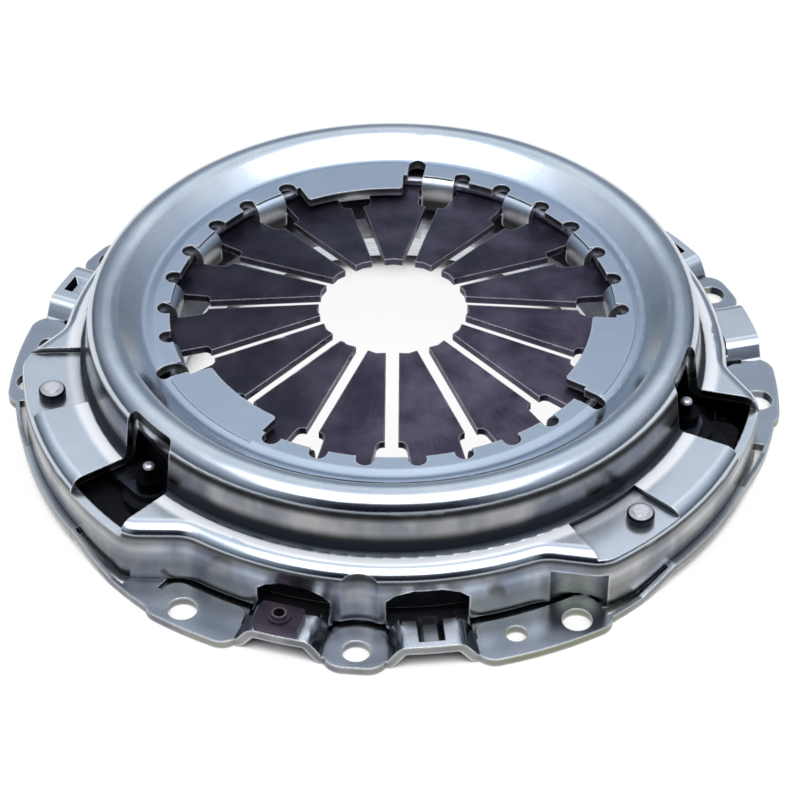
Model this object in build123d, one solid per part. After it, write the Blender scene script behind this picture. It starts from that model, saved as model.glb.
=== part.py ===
from build123d import *
import math
import os

# Clutch pressure plate: stamped cover, diaphragm spring, wire rings, cast plate, drive straps.
# Millimetres, +Z up, origin on the clutch axis in the plane of the flange underside.
# Angles are degrees about +Z, with 0 along +X.

THIRDS = 3
THIRD = 360 / THIRDS
FINGERS = 15
PITCH = 360 / FINGERS

SHEET = 2.8
EPS = 0.01

# Plan rings of the cover, all set out from the bolt circle
BOLT_CIRCLE_R = 114.0
EAR_R = BOLT_CIRCLE_R + 6.6
BRIDGE_R = EAR_R - 3.0
VALLEY_R = BOLT_CIRCLE_R - 10.8
LOBE_R = VALLEY_R + 11.2
BEAD_FOOT_R = VALLEY_R - 8.0
FOOT_END_R = BEAD_FOOT_R + 3.0
BEAD_WALL_R = BEAD_FOOT_R - 2.8
WINDOW_R0 = BEAD_WALL_R - 1.2
BALANCE_HOLE_R = BOLT_CIRCLE_R - 1.8
EAR_GROOVE_R = VALLEY_R + 2.0

# Spring and ring radii, set out from the bead
RIM_R = BEAD_WALL_R - 4.9
PIVOT_R = RIM_R - 16.5
RIDGE_R = RIM_R - 3.0
EDGE_R = PIVOT_R - 2.7
LAND_R = EDGE_R - 7.3
NOTCH_R = PIVOT_R + 1.2
DEEP_NOTCH_R = NOTCH_R + 4.8
FLAT_END_R = PIVOT_R + 2.4
GROOVE_R = FLAT_END_R + 3.1
TAB_FACE_R = PIVOT_R - 5.0
TAB_END_R = PIVOT_R + 2.6

# Directions inside one third of the cover
LOBE_A = -35.3
LOBE_HALF = 22.5
VALLEY_HALF = 30.0
WINDOW_A = -20.0
WINDOW_HALF = 6.1
COVER_RIVET_A = -47.5
PLATE_RIVET_A = -19.9
PAD_A = (-58.5, -43.0)
EAR_LONG = (-78.4, -57.0)
EAR_ROUND = (-100.2, -90.7)
EAR_SHORT = (-128.2, -112.4)
BOLT_A = (-62.4, -122.4)
DOWEL_A = -95.4
BALANCE_HOLE_A = -71.75
LAND_A = -18.5
TAB_A = [LAND_A - PITCH * (i + 1) for i in range(4)]

# Holes and pressings of the cover
BOLT_HOLE_D = 9.0
DOWEL_HOLE_D = 8.4
DOWEL_PAD_R = 9.6
DOWEL_RECESS_R = 12.2
BALANCE_HOLE_D = 6.4
SHELF_Z = 23.0
SHELF_ROUND = 4.6
PAD_DROP = 2.0
RIM_OVER = 2.2
RIM_RISE = 4.0
RIM_STEP = {-1: (9.6, 16.7), 1: (10.2, 20.8)}
EAR_GROOVE = 0.9
SOCKET_R = 10.4
SOCKET_TOP_Z = 15.5
BRIDGE_UP = 5.4
TROUGH_DEEP = 1.9
VENT_LONG = (12.0, 8.0)
VENT_ROUND = (10.9, 6.3)
VENT_DEPTH = 3.6
TAB_W = 10.3

# Lip outside each slit: degrees from the lobe's middle, millimetres outside the lobe
LIP = ((9.0, 2.2), (12.5, 2.2), (16.0, 2.6), (19.5, 3.2), (23.0, 3.8), (27.0, 4.5), (31.0, 5.2))
LIP_W = 1.3
SLIT = (10.6, 22.6)

# Diaphragm spring
SPRING_T = 2.4
TIP_R = 22.6
TIP_TOP_Z = 37.4
CONE = math.radians(8.1)
SLOT_W = 3.9
ROOT_R0 = PIVOT_R - 13.8
ROOT_R1 = PIVOT_R - 1.0
ROOT_W0 = 8.4
ROOT_W1 = 13.0
WIRE_D = 3.0

# Cast plate
PLATE_R0 = PIVOT_R - 4.5
PLATE_R1 = VALLEY_R - SHEET - 2.4
PLATE_FACE_Z = 4.0
PLATE_TOP_Z = 13.0
RIDGE_W = 4.0
LUG_R = 8.2
LUG_OUT_R = LOBE_R - SHEET - 2.2
LUG_SPAN = (-33.0, -14.6)

# Straps and rivets
STRAP_T = 0.8
STRAP_LEAVES = 3
STRAP_W = 10.8
COVER_RIVET_R = LOBE_R - SHEET - STRAP_W / 2 - 0.3
PLATE_RIVET_R = PLATE_R1 - 4.3
PLATE_HOLE_Z = PLATE_FACE_Z + 9.0
RIVET_D = 6.0
RIVET_FIT = 0.03

# Balance weight on one raised bridge
WEIGHT_SIZE = (13.0, 9.5, 2.6)
WEIGHT_HOLE_D = 4.6


def spring_top(r):
    """Height of the spring's upper surface at radius r."""
    return TIP_TOP_Z - math.tan(CONE) * (r - TIP_R)


def spring_bottom(r):
    """Height of the spring's lower surface at radius r."""
    return spring_top(r) - SPRING_T / math.cos(CONE)


# Heights that follow from the wires touching the spring
WIRE_RISE = WIRE_D / 2 / math.cos(CONE) + EPS
UPPER_WIRE_Z = spring_top(PIVOT_R) + WIRE_RISE
LOWER_WIRE_Z = spring_bottom(PIVOT_R) - WIRE_RISE
ANNULUS_Z = UPPER_WIRE_Z + WIRE_D / 2 + EPS + SHEET
TAB_FLOOR_Z = LOWER_WIRE_Z - WIRE_D / 2 - EPS
PAD_Z = SHELF_Z - PAD_DROP
STRAP_TOP_Z = PAD_Z - SHEET
STRAP_BOTTOM_Z = STRAP_TOP_Z - STRAP_LEAVES * STRAP_T
RIDGE_TOP_Z = spring_bottom(RIDGE_R) - EPS


def polar(r, a, z=0.0):
    """Point at radius r and angle a."""
    t = math.radians(a)
    return (r * math.cos(t), r * math.sin(t), z)


def sector(r0, r1, a0, a1):
    """Flat ring sector between two radii and two angles."""
    mid = (a0 + a1) / 2
    edges = [
        Line(polar(r0, a0), polar(r1, a0)),
        ThreePointArc(polar(r1, a0), polar(r1, mid), polar(r1, a1)),
        Line(polar(r1, a1), polar(r0, a1)),
        ThreePointArc(polar(r0, a1), polar(r0, mid), polar(r0, a0)),
    ]
    return make_face(edges)


def prism(face, z0, z1):
    """Straight prism on a flat face, from z0 to z1."""
    return Pos(0, 0, z0) * extrude(face, z1 - z0, dir=(0, 0, 1))


def around(shape, count=THIRDS):
    """Copies of a shape turned evenly about the axis."""
    return [Rot(0, 0, 360 / count * i) * shape for i in range(count)]


def offset_points(points, side):
    """Polyline moved sideways by a signed distance, its corners mitred."""
    moved = []
    for i, p in enumerate(points):
        before = points[max(i - 1, 0)]
        after = points[min(i + 1, len(points) - 1)]
        n = []
        for a, b in ((before, p), (p, after)):
            d = math.hypot(b[0] - a[0], b[1] - a[1])
            if d > 0:
                n.append((-(b[1] - a[1]) / d, (b[0] - a[0]) / d))
        sx = sum(v[0] for v in n) / len(n)
        sy = sum(v[1] for v in n) / len(n)
        k = side / (sx * sx + sy * sy)
        moved.append((p[0] + sx * k, p[1] + sy * k))
    return moved


def strip(points, side, radii, back_radii):
    """Bent sheet section: a polyline, its offset, and rounded corners on both."""
    back = offset_points(points, side)
    face = make_face(Polyline(*points, *reversed(back), close=True))
    for corners, sizes in ((points, radii), (back, back_radii)):
        for corner, size in zip(corners[1:-1], sizes):
            if size > 0:
                near = face.vertices().sort_by_distance((corner[0], corner[1], 0))[0]
                face = fillet(near, size)
    return face


def revolve_section(face, arc=360.0):
    """Section drawn as (radius, height) turned about the axis."""
    return revolve(Plane.XZ * face, Axis.Z, revolution_arc=arc)


def lobed_outline(grow=0.0):
    """Tri-lobed plan outline of the cover's side wall, moved outward by grow."""
    lobe_r = LOBE_R + grow
    valley_r = VALLEY_R + grow
    edges = []
    for k in range(THIRDS):
        mid = LOBE_A + THIRD * k
        foot0 = polar(valley_r, mid - VALLEY_HALF)
        head0 = polar(lobe_r, mid - LOBE_HALF)
        head1 = polar(lobe_r, mid + LOBE_HALF)
        foot1 = polar(valley_r, mid + VALLEY_HALF)
        after = polar(valley_r, mid + THIRD - VALLEY_HALF)
        edges.append(Line(foot0, head0))
        edges.append(ThreePointArc(head0, polar(lobe_r, mid), head1))
        edges.append(Line(head1, foot1))
        edges.append(ThreePointArc(foot1, polar(valley_r, mid + THIRD / 2), after))
    plan = make_face(edges)
    inner = [v for v in plan.vertices() if math.hypot(v.X, v.Y) < (valley_r + lobe_r) / 2]
    plan = fillet(inner, 11 + grow)
    outer = [v for v in plan.vertices() if math.hypot(v.X, v.Y) > lobe_r - 0.5]
    return fillet(outer, 11 + grow)


def bowl(outline, z1, rounding):
    """Solid on the lobed outline with a rounded top edge."""
    body = prism(outline, 0, z1)
    top = body.faces().sort_by(Axis.Z)[-1]
    return fillet(top.edges(), rounding)


def cover_dome():
    """Annulus, bead and bead foot, turned about the axis."""
    rise = math.tan(math.radians(36))
    groove = (GROOVE_R, ANNULUS_Z - 0.9)
    crown = (BEAD_WALL_R, groove[1] + rise * (BEAD_WALL_R - groove[0]))
    points = [
        (EDGE_R, ANNULUS_Z),
        (FLAT_END_R, ANNULUS_Z),
        groove,
        crown,
        (BEAD_FOOT_R, SHELF_Z),
        (FOOT_END_R, SHELF_Z),
    ]
    face = strip(points, -SHEET, (1.5, 2.2, 6.4, 1.6), (0.6, 3.2, 3.6, 4.4))
    return revolve_section(face)


def cover_skirt():
    """Shelf and side wall, hollow from below."""
    outline = lobed_outline()
    inner = lobed_outline(-SHEET)
    outside = bowl(outline, SHELF_Z, SHELF_ROUND)
    inside = bowl(inner, SHELF_Z - SHEET, SHELF_ROUND - SHEET)
    body = outside - inside
    return body - Cylinder(FOOT_END_R, 2 * SHELF_Z + 20)


def lip_plan(side, inset=0.0):
    """Plan from inside the wall to the lip's outer edge at one end of a lobe."""
    outer = [polar(LOBE_R + over - inset, LOBE_A + side * a) for a, over in LIP]
    inner = [polar(LOBE_R - 8, LOBE_A + side * a) for a, over in (LIP[-1], LIP[0])]
    return make_face([Spline(*outer), Polyline(outer[-1], *inner, outer[0])])


def rim_step(side, low, high, keeps_falling=False):
    """Band along one end of a lobe, stepping down from the raised rim to the ears."""
    start, end = RIM_STEP[side]
    run = math.radians(end - start) / 2 * LOBE_R
    points = [(-30, RIM_RISE), (-run, RIM_RISE), (run, 0), (30, 0)]
    if keeps_falling:
        points[2:] = [(30, RIM_RISE * (run - 30) / (2 * run))]
    top = [(side * x, z + high) for x, z in points]
    foot = [(side * x, z + low) for x, z in reversed(points)]
    face = make_face(Polyline(*top, *foot, close=True))
    bar = extrude(Plane.XZ * face, 44, dir=(0, -1, 0))
    return Rot(0, 0, LOBE_A + side * (start + end) / 2 + 90) * (Pos(0, 20 - LOBE_R, 0) * bar)


def rim_flange():
    """Raised rim round the foot of one lobe, and its lips down to the ears."""
    inside = prism(lobed_outline(-SHEET), -1, RIM_RISE + SHEET + 1)
    reach = (LOBE_A - RIM_STEP[-1][0], LOBE_A + RIM_STEP[1][0])
    plan = sector(LOBE_R - 8, LOBE_R + RIM_OVER, *reach)
    pieces = [prism(plan, RIM_RISE, RIM_RISE + SHEET) - inside]
    for side in (-1, 1):
        lip = prism(lip_plan(side), -1, RIM_RISE + SHEET + 1) & rim_step(side, 0, SHEET)
        pieces.append(lip - inside)
    return pieces


def rim_clearance():
    """Takes the wall's foot away below the raised rim of one lobe."""
    reach = (LOBE_A - RIM_STEP[-1][0], LOBE_A + RIM_STEP[1][0])
    inner = LOBE_R - 24
    outer = LOBE_R + 8
    tools = [prism(sector(inner, outer, *reach), -1, RIM_RISE)]
    for side in (-1, 1):
        start, end = RIM_STEP[side]
        ends = sorted((LOBE_A + side * (start - 0.5), LOBE_A + side * (end + 3)))
        zone = prism(sector(inner, outer, *ends), -3, RIM_RISE)
        tools.append(zone & rim_step(side, -9, 0, keeps_falling=True))
    return tools


def ear(span, corner=6.0):
    """Flat bolting ear between two angles."""
    plan = sector(VALLEY_R - SHEET + 0.2, EAR_R, *span)
    tips = [v for v in plan.vertices() if math.hypot(v.X, v.Y) > EAR_R - 1]
    return prism(fillet(tips, corner), 0, SHEET)


def ear_groove(span, pad):
    """Groove between the wall foot and the coined pad of an ear."""
    plan = sector(VALLEY_R - SHEET + 0.4, EAR_GROOVE_R + 6, *span) - pad
    return prism(plan, SHEET - EAR_GROOVE, SHEET + 0.6)


def long_pad(span):
    """Coined pad of a bolt ear."""
    plan = sector(EAR_GROOVE_R, EAR_R + 2, span[0] + 0.9, span[1] - 0.9)
    tips = [v for v in plan.vertices() if math.hypot(v.X, v.Y) < EAR_GROOVE_R + 1]
    return fillet(tips, 4.5)


def round_pad():
    """Coined pad of the dowel ear."""
    return Pos(*polar(BOLT_CIRCLE_R, DOWEL_A)) * Circle(DOWEL_PAD_R)


def bridge(a0, a1):
    """Raised flange length between two ears, with a ramp at each end."""
    mid = (a0 + a1) / 2
    half = math.radians((a1 - a0) / 2) * BRIDGE_R + 1.0
    top = SHEET + BRIDGE_UP
    points = [
        (-half - 5, SHEET), (-half + 0.5, SHEET), (-half + 4.6, top),
        (half - 4.6, top), (half - 0.5, SHEET), (half + 5, SHEET),
    ]
    foot = 1.4
    crest = 1.4
    front = (foot, crest + SHEET, crest + SHEET, foot)
    back = (foot + SHEET, crest, crest, foot + SHEET)
    face = strip(points, -SHEET, front, back)
    bar = extrude(Plane.XZ * face, 40, dir=(0, -1, 0))
    bar = Rot(0, 0, mid + 90) * (Pos(0, -85, 0) * bar)
    keep = prism(sector(VALLEY_R - SHEET + 0.1, BRIDGE_R, a0 - 0.5, a1 + 0.5), -1, 30)
    return bar & keep


def trough(a, deep):
    """Tapered block of the pressed trough across a bridge, its top at the bridge's top."""
    r0 = VALLEY_R - 1
    r1 = BRIDGE_R - 4.0
    plan = Pos((r0 + r1) / 2, 0) * Rectangle(r1 - r0, 4.2)
    block = extrude(Rot(0, 0, a) * plan, deep, taper=-42)
    return Pos(0, 0, SHEET + BRIDGE_UP - deep) * block


def ring_tab(a):
    """Tab bent down through a spring window and curled under the lower wire."""
    points = [
        (NOTCH_R + 1.0, ANNULUS_Z),
        (TAB_FACE_R, ANNULUS_Z),
        (TAB_FACE_R, TAB_FLOOR_Z - SHEET),
        (TAB_END_R, TAB_FLOOR_Z - SHEET),
    ]
    face = strip(points, SHEET, (4.8, 4.3), (2.0, 1.5))
    bar = extrude(Plane.XZ * face, TAB_W / 2, dir=(0, -1, 0), both=True)
    return Rot(0, 0, a) * bar


def land():
    """Flat trapezoid land over one spring window."""
    plan = sector(LAND_R, NOTCH_R + 2, LAND_A - 14.4, LAND_A + 14.4)
    tips = [v for v in plan.vertices() if math.hypot(v.X, v.Y) < LAND_R + 1]
    body = prism(fillet(tips, 1.2), ANNULUS_Z - SHEET, ANNULUS_Z)
    return body


def notch(a, depth_r, width=5.4):
    """Round-ended relief notch at the annulus edge."""
    r = depth_r - width / 2
    plan = Pos(*polar(r, a)) * Circle(width / 2)
    slot = Rot(0, 0, a) * (Pos(r - 10, 0) * Rectangle(20, width))
    return prism(plan + slot, ANNULUS_Z - 12, ANNULUS_Z + 8)


def notch_angles():
    """Angle and depth of every notch in one third."""
    side = math.degrees((TAB_W / 2 + 2.6) / PIVOT_R)
    found = []
    for a in TAB_A:
        found.append((a - side, NOTCH_R))
        found.append((a + side, NOTCH_R))
    found[1] = (found[1][0], DEEP_NOTCH_R)
    return found


def window_tool():
    """Strap window: shelf, bead shoulder and the rounded top of the wall."""
    plan = sector(WINDOW_R0, LOBE_R + 1, WINDOW_A - WINDOW_HALF, WINDOW_A + WINDOW_HALF)
    return prism(fillet(plan.vertices(), 2.4), SHELF_Z - SHELF_ROUND + 0.2, ANNULUS_Z + 20)


def vent_tool(a, half, up):
    """Arched opening through the wall foot above a raised bridge."""
    z0 = SHEET + BRIDGE_UP
    face = make_face(Polyline(
        (-half, z0), (half, z0), (half, z0 + up - 4), (half - 2.6, z0 + up - 1.7),
        (0.35 * half, z0 + up), (-0.35 * half, z0 + up),
        (-half + 2.6, z0 + up - 1.7), (-half, z0 + up - 4), close=True))
    bar = extrude(Plane.XZ * face, 30, dir=(0, -1, 0))
    arch = Rot(0, 0, a + 90) * (Pos(0, -88, 0) * bar)
    reach = math.degrees(half / VALLEY_R)
    plan = sector(VALLEY_R - SHEET - 4, VALLEY_R + VENT_DEPTH, a - reach, a + reach)
    return arch + prism(plan, BRIDGE_UP - 1, z0 + 0.2)


def under_bridge_tool(a0, a1):
    """Clears the wall foot below a raised bridge."""
    return prism(sector(92, BRIDGE_R + 6, a0 + 1.6, a1 - 1.6), -1, BRIDGE_UP - 0.4)


def socket_shell(a):
    """Wall bulged inward round the tool clearance above a bolt hole."""
    plan = Pos(*polar(BOLT_CIRCLE_R, a)) * Circle(SOCKET_R + SHEET)
    plan = plan & lobed_outline(-0.1)
    return prism(plan, SHEET / 2, SOCKET_TOP_Z + SHEET)


def slit_tool(side):
    """Curved slit between the wall foot and the lip at one end of a lobe."""
    ends = sorted(LOBE_A + side * a for a in SLIT)
    plan = lip_plan(side, LIP_W) & sector(LOBE_R - 8, EAR_R, *ends)
    plan = plan - lobed_outline(0.1)
    return prism(plan, -1, RIM_RISE + SHEET + 1)


def pad_block():
    """Sheet under the pressed-down rivet pad."""
    plan = sector(BEAD_FOOT_R - 0.5, LOBE_R + 5, PAD_A[0] - 1.2, PAD_A[1] + 1.2)
    plan = plan & lobed_outline(-SHEET + 0.2)
    return prism(plan, PAD_Z - SHEET, SHELF_Z - SHEET + 0.1)


def pad_cut():
    """Removes the shelf above the pressed-down rivet pad."""
    plan = sector(BEAD_FOOT_R + 1.2, LOBE_R + 5, *PAD_A)
    return prism(plan, PAD_Z, SHELF_Z + 5)


def cover_third_tools():
    """Cuts that repeat in each third of the cover."""
    tools = [window_tool(), pad_cut()]
    for a, depth in notch_angles():
        tools.append(notch(a, depth))
    for a in BOLT_A:
        tools.append(Pos(*polar(BOLT_CIRCLE_R, a)) * Cylinder(BOLT_HOLE_D / 2, 20))
        socket = Pos(*polar(BOLT_CIRCLE_R, a)) * Circle(SOCKET_R)
        tools.append(prism(socket, SHEET, SOCKET_TOP_Z))
    dowel = polar(BOLT_CIRCLE_R, DOWEL_A)
    tools.append(Pos(*dowel) * Cylinder(DOWEL_HOLE_D / 2, 20))
    recess = Pos(*dowel) * Circle(DOWEL_RECESS_R) & sector(VALLEY_R - 8, EAR_R + 9, *EAR_ROUND)
    tools.append(prism(recess, SHEET, SHELF_Z - 1.2))
    balance_hole = Cylinder(BALANCE_HOLE_D / 2, 20)
    tools.append(Pos(*polar(BALANCE_HOLE_R, BALANCE_HOLE_A)) * balance_hole)
    tools.append(Pos(*polar(COVER_RIVET_R, COVER_RIVET_A, PAD_Z)) * Cylinder(RIVET_D / 2, 20))
    tools.append(vent_tool((EAR_LONG[0] + EAR_ROUND[1]) / 2, *VENT_LONG))
    tools.append(vent_tool((EAR_ROUND[0] + EAR_SHORT[1]) / 2, *VENT_ROUND))
    tools.append(slit_tool(-1))
    tools.append(slit_tool(1))
    tools.append(ear_groove(EAR_ROUND, round_pad()))
    for span in (EAR_LONG, EAR_SHORT):
        tools.append(ear_groove(span, long_pad(span)))
    return tools


def make_cover():
    """One stamped sheet part."""
    body = cover_skirt()
    foot_cuts = []
    adds = []
    for a0, a1 in ((EAR_ROUND[1], EAR_LONG[0]), (EAR_SHORT[1], EAR_ROUND[0])):
        foot_cuts += around(under_bridge_tool(a0, a1))
        adds += around(bridge(a0, a1))
    for tool in rim_clearance():
        foot_cuts += around(tool)
    body = body - foot_cuts
    flange = around(ear(EAR_LONG)) + around(ear(EAR_ROUND)) + around(ear(EAR_SHORT))
    for piece in rim_flange():
        flange += around(piece)
    body = body + flange
    middle = (EAR_ROUND[1] + EAR_LONG[0]) / 2
    under = Pos(0, 0, -SHEET) * trough(middle, TROUGH_DEEP)
    adds += around(under)
    adds += around(pad_block())
    for a in BOLT_A:
        adds += around(socket_shell(a))
    body = body + adds
    body = body + cover_dome()
    body = body + around(land())
    tabs = [ring_tab(a) for a in TAB_A]
    cuts = around(trough(middle, TROUGH_DEEP))
    for tool in cover_third_tools():
        cuts += around(tool)
    body = body - cuts
    for tab in tabs:
        body = body + around(tab)
    return body


def make_spring():
    """Diaphragm spring: coned washer with fifteen fingers."""
    section = make_face(Polyline(
        (TIP_R - 1, spring_top(TIP_R - 1)),
        (RIM_R, spring_top(RIM_R)),
        (RIM_R, spring_bottom(RIM_R)),
        (TIP_R - 1, spring_bottom(TIP_R - 1)),
        close=True))
    body = revolve_section(section)
    bore = RegularPolygon(TIP_R, FINGERS, major_radius=False)
    turn = Rot(0, 0, LAND_A + PITCH / 2)
    body = body - turn * prism(bore, 10, 50)
    slot = Pos((TIP_R + ROOT_R0) / 2, 0) * Rectangle(ROOT_R0 - TIP_R + 14, SLOT_W)
    root = make_face(Polyline(
        (ROOT_R0, -ROOT_W0 / 2), (ROOT_R1, -ROOT_W1 / 2),
        (ROOT_R1, ROOT_W1 / 2), (ROOT_R0, ROOT_W0 / 2), close=True))
    root = fillet(root.vertices(), 2.2)
    cut = prism(slot + root, 10, 50)
    cuts = [Rot(0, 0, LAND_A + PITCH * i) * cut for i in range(FINGERS)]
    return body - cuts


def make_wire(z):
    """Round wire ring with a small end gap."""
    section = Pos(PIVOT_R, z) * Circle(WIRE_D / 2)
    return Rot(0, 0, LAND_A) * revolve_section(section, 359.0)


def make_plate():
    """Cast plate with fulcrum ridge and three strap lugs."""
    z0 = PLATE_FACE_Z
    section = make_face(Polyline(
        (PLATE_R0, z0 + 0.8), (PLATE_R0 + 0.8, z0), (PLATE_R1 - 0.8, z0), (PLATE_R1, z0 + 0.8),
        (PLATE_R1, PLATE_TOP_Z - 1.2), (PLATE_R1 - 1.2, PLATE_TOP_Z),
        (RIDGE_R + RIDGE_W / 2 + 1.2, PLATE_TOP_Z), (RIDGE_R + RIDGE_W / 2, PLATE_TOP_Z + 1.2),
        (RIDGE_R + RIDGE_W / 2, RIDGE_TOP_Z - 1.2),
        (RIDGE_R, RIDGE_TOP_Z), (RIDGE_R - RIDGE_W / 2, RIDGE_TOP_Z - 1.2),
        (RIDGE_R - RIDGE_W / 2, PLATE_TOP_Z + 5.5), (PLATE_R0 + 6, PLATE_TOP_Z + 2.5),
        (PLATE_R0, PLATE_TOP_Z - 1.0), close=True))
    body = revolve_section(section)
    gap = Pos(RIDGE_R, 0, RIDGE_TOP_Z) * Box(RIDGE_W + 3, 9, 8)
    gaps = [Rot(0, 0, LAND_A + PITCH * (i + 0.5)) * gap for i in range(FINGERS)]
    body = body - gaps
    shoe = sector(PLATE_R1 - 3, LUG_OUT_R, *LUG_SPAN)
    tips = [v for v in shoe.vertices() if math.hypot(v.X, v.Y) > LUG_OUT_R - 1]
    shoe = prism(fillet(tips, 4), z0 + 1.5, PLATE_TOP_Z - 0.5)
    boss = prism(Pos(*polar(PLATE_RIVET_R, PLATE_RIVET_A)) * Circle(LUG_R), z0 + 1.5, STRAP_BOTTOM_Z)
    boss = boss - Cylinder(RIDGE_R + RIDGE_W / 2 + 0.2, 60)
    body = body + around(shoe) + around(boss)
    hole = prism(Pos(*polar(PLATE_RIVET_R, PLATE_RIVET_A)) * Circle(RIVET_D / 2), PLATE_HOLE_Z, z0 + 30)
    return body - around(hole)


def make_strap(leaf):
    """One flat leaf from the cover rivet to the plate rivet."""
    p = polar(COVER_RIVET_R, COVER_RIVET_A)
    q = polar(PLATE_RIVET_R, PLATE_RIVET_A)
    length = math.hypot(q[0] - p[0], q[1] - p[1])
    plan = SlotCenterToCenter(length, STRAP_W)
    for side in (-1, 1):
        plan = plan - Pos(side * length / 2, 0) * Circle(RIVET_D / 2 + RIVET_FIT)
    z0 = STRAP_BOTTOM_Z + leaf * STRAP_T
    bar = prism(plan, z0 + EPS / 2, z0 + STRAP_T - EPS / 2)
    turn = math.degrees(math.atan2(q[1] - p[1], q[0] - p[0]))
    return Pos((p[0] + q[0]) / 2, (p[1] + q[1]) / 2, 0) * Rot(0, 0, turn) * bar


def make_cover_rivet():
    """Headed rivet holding a strap pack to the cover pad."""
    head = Pos(0, 0, PAD_Z + 1.5) * Cylinder(4.1, 3.0)
    head = fillet(head.edges().sort_by(Axis.Z)[-1], 0.9)
    button = Pos(0, 0, PAD_Z + 3.0) * Cylinder(2.3, 1.0)
    shank = Pos(0, 0, (PAD_Z + STRAP_BOTTOM_Z) / 2) * Cylinder(RIVET_D / 2, PAD_Z - STRAP_BOTTOM_Z)
    tail = Pos(0, 0, STRAP_BOTTOM_Z - 1.3) * Cylinder(4.6, 2.6)
    tail = fillet(tail.edges().sort_by(Axis.Z)[0], 0.9)
    return Pos(*polar(COVER_RIVET_R, COVER_RIVET_A)) * (head + button + shank + tail)


def make_plate_rivet():
    """Tall rivet holding a strap pack to a plate lug."""
    length = STRAP_TOP_Z - PLATE_HOLE_Z
    shank = Pos(0, 0, PLATE_HOLE_Z + length / 2) * Cylinder(RIVET_D / 2, length)
    head = Pos(0, 0, STRAP_TOP_Z + 1.9) * Cylinder(4.2, 3.8)
    tip = Pos(0, 0, STRAP_TOP_Z + 6.2) * Cylinder(1.8, 5.2)
    tip = fillet(tip.edges().sort_by(Axis.Z)[-1], 1.2)
    return Pos(*polar(PLATE_RIVET_R, PLATE_RIVET_A)) * (head + shank + tip)


def weight_place():
    """Position on the raised bridge that carries the balance weight."""
    a = (EAR_ROUND[0] + EAR_SHORT[1]) / 2 - 0.6
    return Pos(*polar(BRIDGE_R - 5.6, a, SHEET + BRIDGE_UP)) * Rot(0, 0, a)


def make_weight():
    """Small plate riveted to one bridge to balance the cover."""
    wide, deep, thick = WEIGHT_SIZE
    body = Pos(0, 0, thick / 2) * Box(deep, wide, thick)
    body = fillet(body.edges().filter_by(Axis.Z), 1.0)
    ring = Pos(0, 0, thick) * Cylinder(3.6, 1.2)
    hole = Cylinder(WEIGHT_HOLE_D / 2, 20)
    return weight_place() * (body + ring - hole)


def make_weight_rivet():
    """Hollow rivet through the balance weight and the bridge."""
    tube = Pos(0, 0, 0.4) * Cylinder(WEIGHT_HOLE_D / 2, 7.2)
    foot = Pos(0, 0, -SHEET - 0.6) * Cylinder(3.4, 1.2)
    bore = Cylinder(WEIGHT_HOLE_D / 2 - 0.7, 30)
    return weight_place() * (tube + foot - bore)


def main():
    os.makedirs("parts", exist_ok=True)
    cover = make_cover() - weight_place() * Cylinder(WEIGHT_HOLE_D / 2, 20)
    parts = {
        "cover": cover,
        "diaphragm_spring": make_spring(),
        "pivot_wire_upper": make_wire(UPPER_WIRE_Z),
        "pivot_wire_lower": make_wire(LOWER_WIRE_Z),
        "pressure_plate": make_plate(),
        "balance_weight": make_weight(),
        "balance_rivet": make_weight_rivet(),
    }
    names = ("a", "b", "c")
    for k, name in enumerate(names):
        turn = Rot(0, 0, THIRD * k)
        for leaf in range(STRAP_LEAVES):
            parts[f"strap_{name}_leaf_{leaf + 1}"] = turn * make_strap(leaf)
        parts[f"cover_rivet_{name}"] = turn * make_cover_rivet()
        parts[f"plate_rivet_{name}"] = turn * make_plate_rivet()
    for name, shape in parts.items():
        shape.label = name
        export_step(shape, f"parts/{name}.step")


main()
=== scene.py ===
import math

import bmesh
import bpy
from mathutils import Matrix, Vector


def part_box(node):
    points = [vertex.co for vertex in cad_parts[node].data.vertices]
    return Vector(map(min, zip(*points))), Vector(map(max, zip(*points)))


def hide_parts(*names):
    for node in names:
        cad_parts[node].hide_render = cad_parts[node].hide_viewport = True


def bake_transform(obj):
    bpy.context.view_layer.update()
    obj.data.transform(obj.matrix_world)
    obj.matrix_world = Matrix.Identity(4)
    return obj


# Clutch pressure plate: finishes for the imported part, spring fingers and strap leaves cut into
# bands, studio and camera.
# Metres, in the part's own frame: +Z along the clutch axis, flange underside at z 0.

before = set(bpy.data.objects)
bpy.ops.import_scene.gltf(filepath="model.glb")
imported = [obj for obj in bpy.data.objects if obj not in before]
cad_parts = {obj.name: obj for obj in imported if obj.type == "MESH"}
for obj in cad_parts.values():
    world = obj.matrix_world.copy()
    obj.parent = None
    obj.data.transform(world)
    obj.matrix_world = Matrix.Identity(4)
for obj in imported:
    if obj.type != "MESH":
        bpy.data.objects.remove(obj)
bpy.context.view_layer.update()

MM = 0.001

# Sizes that follow the part
FINGERS = 15
PITCH = 360 / FINGERS
LAND_ANGLE = -18.5
# Cuts across the fingers and leaves
FINGER_CUTS = [r * MM for r in range(26, 88, 4)]
LEAF_BANDS = 12
SMOOTH_ANGLE = 35
WELD = 0.002 * MM
WORN_EDGE = 0.25 * MM
WORN_EDGE_ANGLE = 50

# Where one colour of the sheet gives way to another, real finish or painted light and shade: radii and
# heights in millimetres
ANNULUS_EDGE = (81.5, 76.5)
FOOT_INNER = (91.5, 92.5)
FOOT_OUTER = (96.8, 96.1)
FOOT_TOP = (28.0, 26.6)
SHELF_START = (94.8, 95.6)
SHELF_END = (102.0, 99.0)
SHELF_HEIGHT = (20.0, 22.0)
EAR_TOP = (6.0, 4.5)
YELLOW_TOP = (16.0, 4.0)

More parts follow.
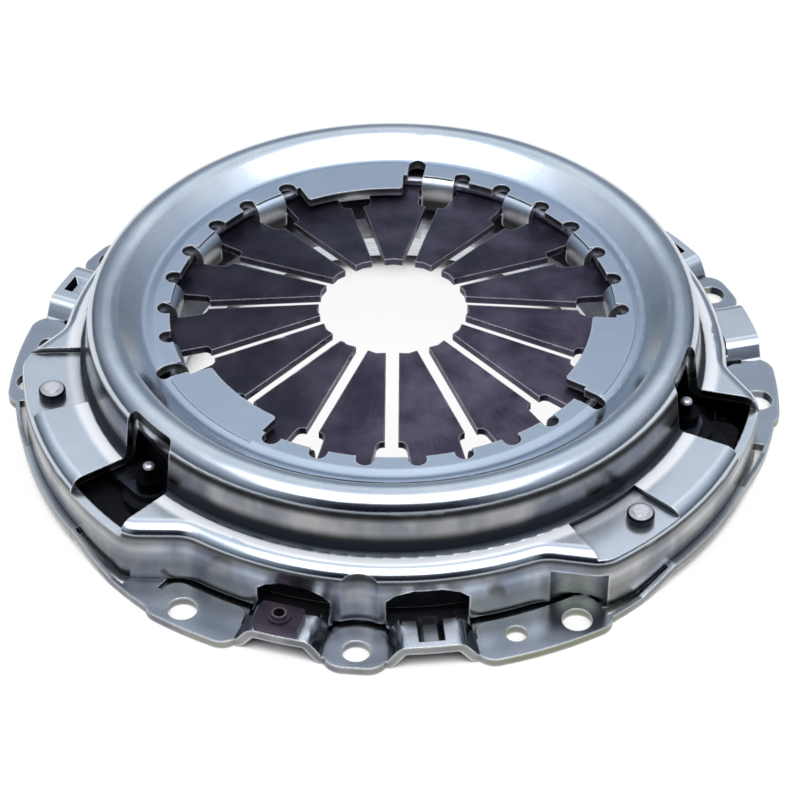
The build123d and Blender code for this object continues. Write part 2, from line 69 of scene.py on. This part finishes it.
# Grey levels by height in millimetres. They stand for the dark room that the walls mirror in the
# photograph, and stay in place when the view or the light changes
RAMP_TOP = 50.0
BEAD_TONES = ((24, 0.04), (27.5, 0.06), (31, 0.75), (33.5, 0.75), (36.0, 0.06), (41, 0.04))
SKIRT_TONES = ((3, 0.6), (9, 0.5), (12.5, 0.7), (14.8, 1.0), (17.5, 0.55), (19.5, 0.12))

# Colours of the sheet
SHEET_DIM = (0.54, 0.61, 0.70)
SHEET_BRIGHT = (0.64, 0.70, 0.77)
SHEET_GRAIN = (0.32, 0.38, 0.49)
ANNULUS_BLUE = (0.46, 0.55, 0.68)
# Painted highlight on the outer flats that face up
OUTER_FLAT_HIGHLIGHT = (0.74, 0.80, 0.88)
EAR_GREY = (0.42, 0.47, 0.55)
# Painted highlight on the flat shelf beside the bead
SHELF_HIGHLIGHT = (0.88, 0.90, 0.94)
# Walls painted darker than the flats as painted shade, between these two tones at random
WALL_DIM = (0.28, 0.29, 0.33)
WALL_BRIGHT = (0.50, 0.51, 0.52)
LOW_WALL_YELLOW = (0.42, 0.44, 0.27)
# Painted highlight along the outer edges
EDGE_HIGHLIGHT = (0.90, 0.92, 0.95)
# Painted shade in crevices
CREVICE_SHADE = (0.03, 0.035, 0.05)
# Painted shade in the crease at the bead's foot
FOOT_SHADE = (0.02, 0.025, 0.035)
# Painted shade on the inside and the underside
INSIDE_SHADE = (0.02, 0.022, 0.03)

# Colours of the spring
SPRING_DARK = (0.035, 0.031, 0.056)
SPRING_LIGHT = (0.115, 0.102, 0.15)
SPRING_STREAK = (0.17, 0.155, 0.20)
SPRING_SPECK = (0.03, 0.026, 0.045)
# Painted shade towards the left
SPRING_LEFT_SHADE = (0.012, 0.013, 0.022)
# Painted highlight along the finger edges
SPRING_EDGE_HIGHLIGHT = (0.62, 0.61, 0.68)

# The casting: its colours, near black, partly its own dark colour and partly painted shade under the cover;
# the top of its ground face; and how far out its turned bore reaches
CAST_DARK = (0.006, 0.007, 0.011)
CAST_LIGHT = (0.018, 0.019, 0.027)
GROUND_DIM = (0.72, 0.74, 0.78)
GROUND_BRIGHT = (0.86, 0.88, 0.91)
FACE_TOP = (5.2, 4.3)
BORE_EDGE = (80.0, 79.0)

# Painted shade on the fingers, darker from the middle towards the left, in millimetres along X
LEFT_SHADE = (5.0, -35.0)

# How far below the tops of the rivets their painted highlights begin
COVER_CAP = 0.6 * MM
PLATE_CAP = 1.3 * MM

# Ring of floor shut in between the plate and the skirt, painted dark as shadow, in millimetres from the axis
SHUT_IN_INNER = (74.0, 68.0)
SHUT_IN_OUTER = (107.5, 109.5)
SHUT_IN_SHADOW = (0.02, 0.02, 0.025)
FLOOR_WHITE = (0.92, 0.92, 0.92)
FLOOR_SIZE = 8.0
SHADOW_REACH = 32 * MM

# Camera, from the photograph's perspective
EYE = Vector((0.0, -701.8, 608.0)) * MM
AIM = Vector((2.06, -24.2, 20.0)) * MM
LENS_MM = 132.96
SENSOR_MM = 36.0

# Brightness of the studio over the arc from the front horizon (0) over the zenith (0.5)
# to the back horizon (1)
ARC = (
    (0.0, (0.012, 0.013, 0.020)), (0.08, (0.016, 0.018, 0.026)), (0.15, (0.035, 0.04, 0.055)),
    (0.235, (0.16, 0.17, 0.21)), (0.26, (3.0, 3.0, 3.0)), (0.282, (5.0, 5.0, 5.0)),
    (0.45, (5.0, 5.0, 5.0)), (0.52, (1.5, 1.55, 1.65)), (0.60, (1.15, 1.2, 1.25)),
    (0.73, (1.35, 1.4, 1.46)), (0.765, (0.9, 0.96, 1.04)), (0.80, (0.42, 0.47, 0.55)),
    (0.86, (0.40, 0.46, 0.56)), (0.93, (0.45, 0.49, 0.55)), (1.0, (0.8, 0.8, 0.8)),
)
ARC_PEAK = 5.0
STUDIO_LEVEL = 0.75

# Brightness of the left and right ends of the studio, from the horizon (0) up to the zenith (1)
ENDS = (
    (0.0, (0.16, 0.17, 0.19)), (0.22, (0.26, 0.29, 0.34)), (0.58, (0.72, 0.77, 0.86)),
    (0.8, (1.3, 1.33, 1.4)), (1.0, (1.6, 1.6, 1.6)),
)

# A small light above the part, to the viewer's right, in metres and watts
KEY_PLACE = (0.25, -0.45, 1.0)
KEY_SIZE = (0.35, 0.25)
KEY_POWER = 0.8


class Nodes:
    """Helpers that add nodes to one node tree."""

    def __init__(self, tree):
        self.tree = tree

    def add(self, kind, **properties):
        made = self.tree.nodes.new("ShaderNode" + kind)
        for key, value in properties.items():
            setattr(made, key, value)
        return made

    def feed(self, socket, value):
        """Links an output to a socket, or sets the socket's own value."""
        if isinstance(value, tuple):
            socket.default_value = (*value, 1.0)
        elif isinstance(value, (int, float)):
            socket.default_value = value
        else:
            self.tree.links.new(value, socket)

    def math(self, operation, a, b=None):
        made = self.add("Math", operation=operation)
        self.feed(made.inputs[0], a)
        if b is not None:
            self.feed(made.inputs[1], b)
        return made.outputs[0]

    def times(self, a, b):
        return self.math("MULTIPLY", a, b)

    def split(self, vector):
        made = self.add("SeparateXYZ")
        self.feed(made.inputs[0], vector)
        return made.outputs

    def coordinates(self, kind):
        return self.add("TexCoord").outputs[kind]

    def spread(self, value, low, high, to_low=0.0, to_high=1.0, curve="SMOOTHSTEP"):
        made = self.add("MapRange", interpolation_type=curve)
        made.inputs["From Min"].default_value = low
        made.inputs["From Max"].default_value = high
        made.inputs["To Min"].default_value = to_low
        made.inputs["To Max"].default_value = to_high
        self.feed(made.inputs["Value"], value)
        return made.outputs["Result"]

    def zone(self, value, edge, curve="SMOOTHSTEP"):
        """Zero on one side of an edge in millimetres, one on the other."""
        return self.spread(value, edge[0] * MM, edge[1] * MM, curve=curve)

    def blend(self, factor, a, b, mode="MIX"):
        made = self.add("Mix", data_type="RGBA", blend_type=mode)
        for slot, value in ((0, factor), (6, a), (7, b)):
            self.feed(made.inputs[slot], value)
        return made.outputs[2]

    def ramp(self, source, stops, curve="LINEAR"):
        made = self.add("ValToRGB")
        made.color_ramp.interpolation = curve
        elements = made.color_ramp.elements
        while len(elements) < len(stops):
            elements.new(0.5)
        for element, (place, colour) in zip(elements, stops):
            element.position = place
            element.color = (*colour, 1.0)
        self.feed(made.inputs["Fac"], source)
        return made.outputs["Color"]


class Shader(Nodes):
    """A node material under construction, in the part's own coordinates."""

    def __init__(self, name):
        self.material = bpy.data.materials.new(name)
        self.material.use_nodes = True
        super().__init__(self.material.node_tree)
        self.bsdf = self.tree.nodes["Principled BSDF"]
        self.coords = self.coordinates("Object")

    def finish(self, **sockets):
        """Feeds sockets of the surface, spaces in their names written as underscores."""
        for key, value in sockets.items():
            self.feed(self.bsdf.inputs[key.replace("_", " ")], value)
        return self.material

    def polar(self):
        """Radius, angle and height of the point about the part's axis."""
        x, y, z = self.split(self.coords)
        radius = self.math("SQRT", self.math("ADD", self.times(x, x), self.times(y, y)))
        return radius, self.math("ARCTAN2", y, x), z

    def noise(self, scale, detail=3.0, roughness=0.55, distortion=0.0, source=None):
        made = self.add("TexNoise")
        made.inputs["Scale"].default_value = scale
        made.inputs["Detail"].default_value = detail
        made.inputs["Roughness"].default_value = roughness
        made.inputs["Distortion"].default_value = distortion
        self.feed(made.inputs["Vector"], source or self.coords)
        return made.outputs["Fac"]

    def streaks(self, place, scales, detail, roughness, distortion=0.0):
        """Noise with a scale of its own along each coordinate of a place."""
        made = self.add("CombineXYZ")
        for slot, (value, scale) in enumerate(zip(place, scales)):
            self.feed(made.inputs[slot], self.times(value, scale))
        return self.noise(1.0, detail, roughness, distortion, made.outputs[0])

    def bump(self, height, strength, distance, normal=None):
        made = self.add("Bump")
        made.inputs["Strength"].default_value = strength
        made.inputs["Distance"].default_value = distance
        self.feed(made.inputs["Height"], height)
        if normal is not None:
            self.feed(made.inputs["Normal"], normal)
        return made.outputs["Normal"]

    def facing(self, radius):
        """How far the surface faces up, and how far it faces away from the axis."""
        across, along, up = self.split(self.add("NewGeometry").outputs["Normal"])
        x, y, _ = self.split(self.coords)
        outward = self.math("ADD", self.times(across, x), self.times(along, y))
        return up, self.math("DIVIDE", outward, radius)

    def eased(self, radius):
        """Normal with corners rounded by a radius."""
        made = self.add("Bevel", samples=3)
        made.inputs["Radius"].default_value = radius
        return made.outputs["Normal"]

    def closeness(self, distance, inside):
        """Near one in a crevice (or, from inside the metal, along an outer edge), zero in the open."""
        made = self.add("AmbientOcclusion", samples=4, inside=inside, only_local=True)
        made.inputs["Distance"].default_value = distance
        return self.spread(made.outputs["AO"], 0.9, 0.45)

    def height_tones(self, height, stops):
        """Grey level that follows the height, from (millimetres, level) pairs."""
        stops = [(place / RAMP_TOP, (level, level, level)) for place, level in stops]
        return self.ramp(self.math("DIVIDE", height, RAMP_TOP * MM), stops, "EASE")


def wall_shade_and_stains(s, place, outer):
    """Walls painted darker as shade, with soft stains, yellow low down and painted reflection bands by
    height.
    """
    radius, angle, height = place
    stains = s.streaks((angle, radius, height), (9.0, 20.0, 45.0), detail=2.0, roughness=0.5, distortion=0.4)
    tone = s.blend(s.spread(stains, 0.3, 0.7), WALL_DIM, WALL_BRIGHT)
    # Walls yellower towards the bottom
    yellow = s.times(s.spread(s.noise(23.0, detail=2.0), 0.42, 0.66), s.zone(height, YELLOW_TOP))
    tone = s.blend(s.times(yellow, 0.75), tone, LOW_WALL_YELLOW)
    # Painted reflection bands by height
    bands = s.blend(outer, s.height_tones(height, BEAD_TONES), s.height_tones(height, SKIRT_TONES))
    return s.blend(1.0, tone, bands, "MULTIPLY")


def sheet_tone(s, clouds, grain, inner):
    """Pale zinc with faint clouds and grain, bluer on the flat annulus."""
    tone = s.blend(s.spread(clouds, 0.3, 0.7), SHEET_DIM, SHEET_BRIGHT)
    tone = s.blend(s.times(s.spread(grain, 0.35, 0.75), 0.18), tone, SHEET_GRAIN)
    return s.blend(s.times(inner, 0.8), tone, ANNULUS_BLUE)


def zinc_sheet():
    """Bright zinc: burnished bead, satin flats; painted highlights on outer flats, shelf and edges; painted
    shade on walls, crevices, foot and inside.
    """
    s = Shader("zinc_sheet")
    place = s.polar()
    radius, angle, height = place
    up, outward = s.facing(radius)
    clouds = s.noise(34.0, detail=4.0)
    grain = s.noise(1500.0, detail=2.0, roughness=0.7)
    flat = s.spread(up, 0.95, 0.998)
    wall = s.spread(up, 0.42, 0.22)
    inner = s.zone(radius, ANNULUS_EDGE)
    outer = s.zone(radius, SHELF_START)
    outer_flat = s.times(outer, flat)
    shelf = s.times(s.times(outer_flat, s.zone(radius, SHELF_END)), s.zone(height, SHELF_HEIGHT))
    foot = s.times(s.times(s.zone(radius, FOOT_INNER), s.zone(radius, FOOT_OUTER)), s.zone(height, FOOT_TOP))
    inside = s.math("MAXIMUM", s.times(s.spread(outward, -0.35, -0.6), outer), s.spread(up, -0.4, -0.6))
    matte = s.math("MAXIMUM", inner, s.times(flat, 0.6))

    # Outer flats that face up are painted lighter: a painted highlight
    tone = s.blend(outer_flat, sheet_tone(s, clouds, grain, inner), OUTER_FLAT_HIGHLIGHT)
    tone = s.blend(s.zone(height, EAR_TOP), tone, EAR_GREY)
    # The shelf is painted near white: a painted highlight
    tone = s.blend(shelf, tone, SHELF_HIGHLIGHT)
    # Walls that face sideways take the painted wall shade and the painted reflection bands
    tone = s.blend(wall, tone, wall_shade_and_stains(s, place, outer))
    # Outer edges are painted light: a painted highlight
    tone = s.blend(s.times(s.closeness(0.9 * MM, inside=True), 0.7), tone, EDGE_HIGHLIGHT)
    # Crevices are painted dark: painted shade
    tone = s.blend(s.times(s.closeness(3.0 * MM, inside=False), 0.9), tone, CREVICE_SHADE)
    # The crease at the bead's foot is painted dark: painted shade
    tone = s.blend(s.times(foot, 0.93), tone, FOOT_SHADE)
    # Faces that turn in towards the axis or down are painted dark: painted shade
    tone = s.blend(inside, tone, INSIDE_SHADE)

    rough = s.spread(clouds, 0.3, 0.75, 0.08, 0.14)
    for mask, more in ((matte, 0.24), (wall, 0.14), (foot, 0.4)):
        rough = s.math("ADD", rough, s.times(mask, more))

    rings = s.streaks(place, (2600.0, 3.0, 900.0), detail=2.0, roughness=0.6)
    relief = s.math("ADD", s.times(grain, matte), s.times(rings, 0.25))
    waves = s.noise(110.0, detail=1.0, roughness=0.4)
    ripples = s.bump(waves, strength=0.25, distance=0.3 * MM, normal=s.eased(0.5 * MM))
    # The shelf is made less metallic, so that its painted highlight shows
    metallic = s.spread(shelf, 0.0, 1.0, 1.0, 0.25)
    normal = s.bump(relief, strength=0.14, distance=0.2 * MM, normal=ripples)
    return s.finish(Base_Color=tone, Roughness=rough, Normal=normal, Metallic=metallic)


def spring_steel():
    """Dark phosphated spring steel, satin, with faint streaks, painted highlights along the edges and painted
    shade towards the left.
    """
    s = Shader("spring_steel")
    radius, angle, _ = s.polar()
    streaks = s.streaks((radius, angle), (60.0, 55.0), detail=3.0, roughness=0.6)
    speck = s.noise(2200.0, detail=2.0, roughness=0.7)
    tone = s.blend(s.spread(s.noise(60.0, detail=4.0), 0.3, 0.72), SPRING_DARK, SPRING_LIGHT)
    tone = s.blend(s.spread(streaks, 0.5, 0.85, 0.0, 0.25), tone, SPRING_STREAK)
    tone = s.blend(s.spread(speck, 0.5, 0.8, 0.0, 0.3), tone, SPRING_SPECK)
    # Fingers are painted darker towards the left: painted shade
    left = s.spread(s.split(s.coords)[0], LEFT_SHADE[0] * MM, LEFT_SHADE[1] * MM, 0.0, 0.62)
    tone = s.blend(left, tone, SPRING_LEFT_SHADE)
    # Finger edges are painted light: a painted highlight
    tone = s.blend(s.times(s.closeness(0.5 * MM, inside=True), 0.75), tone, SPRING_EDGE_HIGHLIGHT)
    rough = s.spread(streaks, 0.3, 0.8, 0.30, 0.42)
    normal = s.bump(speck, strength=0.12, distance=0.1 * MM, normal=s.eased(0.4 * MM))
    return s.finish(Base_Color=tone, Roughness=rough, Normal=normal, Metallic=0.85)


def cast_iron():
    """Dark casting, dark partly as painted shade under the cover, with a ground friction face and a turned
    bore.
    """
    s = Shader("cast_iron")
    place = s.polar()
    radius, _, height = place
    pits = s.noise(700.0, detail=4.0, roughness=0.65)
    turned = s.math("MAXIMUM", s.zone(height, FACE_TOP), s.zone(radius, BORE_EDGE))
    rings = s.streaks(place, (3500.0, 2.0, 1500.0), detail=2.0, roughness=0.5)
    dark = s.blend(s.spread(pits, 0.3, 0.75), CAST_DARK, CAST_LIGHT)
    ground = s.blend(s.spread(rings, 0.3, 0.7), GROUND_DIM, GROUND_BRIGHT)
    return s.finish(Base_Color=s.blend(turned, dark, ground), Roughness=s.spread(turned, 0.0, 1.0, 0.62, 0.3),
                    Normal=s.bump(pits, strength=0.25, distance=0.3 * MM), Metallic=0.8)


def plain_metal(name, dark, light, rough, metallic=1.0):
    """Small metal piece: two close tones, grain and a soft bump."""
    s = Shader(name)
    grain = s.noise(900.0, detail=3.0, roughness=0.65)
    tone = s.blend(s.spread(s.noise(160.0, detail=3.0), 0.3, 0.7), dark, light)
    return s.finish(Base_Color=tone, Roughness=s.spread(grain, 0.25, 0.8, rough * 0.8, rough * 1.25),
                    Normal=s.bump(grain, strength=0.15, distance=0.2 * MM), Metallic=metallic)


def highlighted_rivet(name, body, highlight, cap_height, rough):
    """Rivet whose top, above a given height, is painted light as a highlight."""
    s = Shader(name)
    grain = s.noise(1100.0, detail=3.0, roughness=0.65)
    # The top above the given height is painted light: a painted highlight
    top = s.spread(s.split(s.coords)[2], cap_height - 0.1 * MM, cap_height + 0.2 * MM)
    dark = s.blend(s.spread(grain, 0.3, 0.7), body, tuple(1.6 * c for c in body))
    bright = s.blend(s.spread(grain, 0.3, 0.75), highlight, tuple(0.8 * c for c in highlight))
    return s.finish(Base_Color=s.blend(top, dark, bright),
                    Roughness=s.spread(grain, 0.25, 0.8, rough * 0.8, rough * 1.2),
                    Normal=s.bump(grain, strength=0.15, distance=0.2 * MM), Metallic=0.9)


def dress(obj, material):
    """Gives an object one material over all its faces."""
    obj.data.materials.clear()
    obj.data.materials.append(material)


def smooth_by_angle(obj, degrees):
    """Smooth shading on all faces, split at edges sharper than the angle."""
    for polygon in obj.data.polygons:
        polygon.use_smooth = True
    obj.data.set_sharp_from_angle(angle=math.radians(degrees))


def copy_node(name, piece_name):
    """A free copy of a CAD node's mesh, as a new piece with welded corners."""
    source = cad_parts[name]
    mesh = bmesh.new()
    mesh.from_mesh(source.data)
    bmesh.ops.remove_doubles(mesh, verts=mesh.verts, dist=WELD)
    data = bpy.data.meshes.new(piece_name)
    mesh.to_mesh(data)
    mesh.free()
    piece = bpy.data.objects.new(piece_name, data)
    bpy.context.scene.collection.objects.link(piece)
    return piece


def cut_bands(mesh, direction, distances):
    """Cuts a bmesh across a direction at each distance."""
    for distance in distances:
        everything = mesh.verts[:] + mesh.edges[:] + mesh.faces[:]
        bmesh.ops.bisect_plane(mesh, geom=everything, plane_co=direction * distance, plane_no=direction)


def keep_wedge(mesh, middle_angle, half_angle):
    """Keeps the part of a bmesh inside a wedge about the axis, and closes the cut faces."""
    for side in (-1, 1):
        edge_angle = math.radians(middle_angle + side * half_angle)
        outward = Vector((-math.sin(edge_angle), math.cos(edge_angle), 0)) * side
        everything = mesh.verts[:] + mesh.edges[:] + mesh.faces[:]
        cut = bmesh.ops.bisect_plane(mesh, geom=everything, plane_co=(0, 0, 0), plane_no=outward,
                                     clear_outer=True)
        edges = [e for e in cut["geom_cut"] if isinstance(e, bmesh.types.BMEdge)]
        bmesh.ops.holes_fill(mesh, edges=edges, sides=0)


def far_side(mesh, direction):
    """Removes what lies on the other side of the axis from a direction."""
    everything = mesh.verts[:] + mesh.edges[:] + mesh.faces[:]
    bmesh.ops.bisect_plane(mesh, geom=everything, plane_co=(0, 0, 0), plane_no=-direction, clear_outer=True)


def make_fingers(material):
    """The diaphragm spring as fifteen finger pieces, each cut into bands from the rim to the tips."""
    whole = copy_node("diaphragm_spring", "spring_source")
    for i in range(FINGERS):
        middle = LAND_ANGLE + PITCH * (i + 0.5)
        direction = Vector((math.cos(math.radians(middle)), math.sin(math.radians(middle)), 0))
        mesh = bmesh.new()
        mesh.from_mesh(whole.data)
        far_side(mesh, direction)
        keep_wedge(mesh, middle, PITCH / 2)
        cut_bands(mesh, direction, FINGER_CUTS)
        data = bpy.data.meshes.new(f"finger_{i + 1}")
        mesh.to_mesh(data)
        mesh.free()
        piece = bpy.data.objects.new(f"finger_{i + 1}", data)
        bpy.context.scene.collection.objects.link(piece)
        dress(piece, material)
        smooth_by_angle(piece, SMOOTH_ANGLE)
        edge = piece.modifiers.new("worn_edge", "BEVEL")
        edge.width = WORN_EDGE
        edge.segments = 2
        edge.limit_method = "ANGLE"
        edge.angle_limit = math.radians(WORN_EDGE_ANGLE)
        edge.harden_normals = True
        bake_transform(piece)
        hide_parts("diaphragm_spring")
    bpy.data.objects.remove(whole)


def make_leaves(material):
    """Strap leaves, cut into bands between their cover rivet and their plate rivet."""
    for third in "abc":
        low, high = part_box(f"cover_rivet_{third}")
        start = (low + high) / 2
        low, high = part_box(f"plate_rivet_{third}")
        end = (low + high) / 2
        start.z = end.z = 0.0
        along = (end - start).normalized()
        for leaf in (1, 2, 3):
            name = f"strap_{third}_leaf_{leaf}"
            piece = copy_node(name, f"leaf_{third}_{leaf}")
            mesh = bmesh.new()
            mesh.from_mesh(piece.data)
            length = (end - start).length
            base = start.dot(along)
            cut_bands(mesh, along, [base + length * k / LEAF_BANDS for k in range(1, LEAF_BANDS)])
            mesh.to_mesh(piece.data)
            mesh.free()
            dress(piece, material)
            smooth_by_angle(piece, SMOOTH_ANGLE)
            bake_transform(piece)
            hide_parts(name)


def dress_nodes():
    """Finishes of the CAD nodes that stay."""
    zinc = zinc_sheet()
    iron = cast_iron()
    wire = plain_metal("spring_wire", dark=(0.20, 0.21, 0.25), light=(0.32, 0.33, 0.38), rough=0.34)
    weight = plain_metal("weight_steel", dark=(0.034, 0.026, 0.042), light=(0.062, 0.045, 0.066), rough=0.42,
                         metallic=0.8)
    rivet = plain_metal("rivet_tube", dark=(0.10, 0.085, 0.10), light=(0.18, 0.15, 0.17), rough=0.35)
    cover_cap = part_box("cover_rivet_a")[1].z - COVER_CAP
    plate_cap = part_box("plate_rivet_a")[1].z - PLATE_CAP
    # Cover rivets: black, with painted highlights on their tops
    black = highlighted_rivet("black_rivet", body=(0.004, 0.005, 0.008), highlight=(0.88, 0.88, 0.92),
                         cap_height=cover_cap, rough=0.35)
    # Plate rivets: near-black bodies, partly painted shade inside the cover, with painted highlights on their
    # tops
    bright = highlighted_rivet("bright_rivet", body=(0.003, 0.003, 0.005), highlight=(0.62, 0.62, 0.72),
                          cap_height=plate_cap, rough=0.4)
    finishes = {
        "cover": zinc,
        "pressure_plate": iron,
        "pivot_wire_upper": wire,
        "pivot_wire_lower": wire,
        "balance_weight": weight,
        "balance_rivet": rivet,
    }
    for third in "abc":
        finishes[f"cover_rivet_{third}"] = black
        finishes[f"plate_rivet_{third}"] = bright
    for name, material in finishes.items():
        dress(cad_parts[name], material)


def open_floor(s):
    """Zero on the ring of floor shut in between the plate and the skirt, where shadow is painted, one
    elsewhere.
    """
    length = s.add("VectorMath", operation="LENGTH")
    s.feed(length.inputs[0], s.coords)
    sides = [s.zone(length.outputs["Value"], edge, "LINEAR") for edge in (SHUT_IN_INNER, SHUT_IN_OUTER)]
    return s.math("MAXIMUM", *sides)


def seen_rays(s):
    """One for the rays that show the floor: to the camera, in metal and through glass."""
    path = s.add("LightPath").outputs
    mirrored = s.math("MAXIMUM", path["Is Glossy Ray"], path["Is Transmission Ray"])
    return s.math("MAXIMUM", path["Is Camera Ray"], mirrored)


def floor_material():
    """White to the eye and in metal, with the part's soft shadow, and painted shadow on the ring that the
    part shuts in.
    """
    s = Shader("floor_white")
    shown = open_floor(s)
    # The shut-in ring is painted dark: painted shadow
    s.finish(Base_Color=s.blend(shown, SHUT_IN_SHADOW, FLOOR_WHITE), Roughness=0.9, Specular_IOR_Level=0.0)
    white = s.add("Emission")
    white.inputs["Color"].default_value = (1.0, 1.0, 1.0, 1.0)
    white.inputs["Strength"].default_value = 1.0
    near = s.add("AmbientOcclusion")
    near.inputs["Distance"].default_value = SHADOW_REACH
    clear = s.spread(near.outputs["AO"], 0.34, 0.50, 0.0, 0.93, "LINEAR")
    mix = s.add("MixShader")
    s.feed(mix.inputs[0], s.times(s.times(seen_rays(s), clear), shown))
    s.feed(mix.inputs[1], s.bsdf.outputs[0])
    s.feed(mix.inputs[2], white.outputs[0])
    s.feed(s.tree.nodes["Material Output"].inputs["Surface"], mix.outputs[0])
    return s.material


def make_floor():
    bpy.ops.mesh.primitive_plane_add(size=FLOOR_SIZE, location=(0, 0, 0))
    floor = bpy.context.object
    floor.name = "floor"
    dress(floor, floor_material())


def area_light(name, place, size, power):
    """A rectangular light that points at the middle of the part's underside."""
    light = bpy.data.lights.new(name, "AREA")
    light.shape = "RECTANGLE"
    light.size, light.size_y = size
    light.energy = power
    obj = bpy.data.objects.new(name, light)
    obj.location = place
    obj.rotation_euler = (-Vector(place)).to_track_quat("-Z", "Y").to_euler()
    bpy.context.scene.collection.objects.link(obj)


def make_studio():
    """Soft studio: a long light overhead towards the viewer, dark below it, soft grey walls at the ends."""
    world = bpy.data.worlds.new("studio")
    bpy.context.scene.world = world
    world.use_nodes = True
    sky = Nodes(world.node_tree)
    x, y, z = sky.split(sky.coordinates("Generated"))
    above = sky.math("MAXIMUM", z, 0.0)
    arc = sky.math("DIVIDE", sky.math("ARCTAN2", above, sky.times(y, -1.0)), math.pi)
    middle, ends = [
        sky.ramp(source, [(place, [c / ARC_PEAK for c in colour]) for place, colour in stops])
        for source, stops in ((arc, ARC), (above, ENDS))
    ]
    sideways = sky.spread(sky.math("ABSOLUTE", x), 0.28, 0.74)
    background = sky.tree.nodes["Background"]
    sky.feed(background.inputs["Color"], sky.blend(sideways, middle, ends))
    background.inputs["Strength"].default_value = STUDIO_LEVEL * ARC_PEAK
    area_light("key_top", KEY_PLACE, KEY_SIZE, KEY_POWER)


def make_camera():
    data = bpy.data.cameras.new("camera")
    data.sensor_width = SENSOR_MM
    data.lens = LENS_MM
    camera = bpy.data.objects.new("camera", data)
    camera.location = EYE
    camera.rotation_euler = (AIM - EYE).to_track_quat("-Z", "Y").to_euler()
    data.clip_start, data.clip_end = 0.05, 20.0
    bpy.context.scene.collection.objects.link(camera)
    bpy.context.scene.camera = camera


dress_nodes()
make_fingers(spring_steel())
make_leaves(plain_metal("strap_steel", dark=(0.05, 0.055, 0.075), light=(0.09, 0.10, 0.13), rough=0.4))
make_floor()
make_studio()
make_camera()
bpy.context.scene.view_settings.view_transform = "Standard"
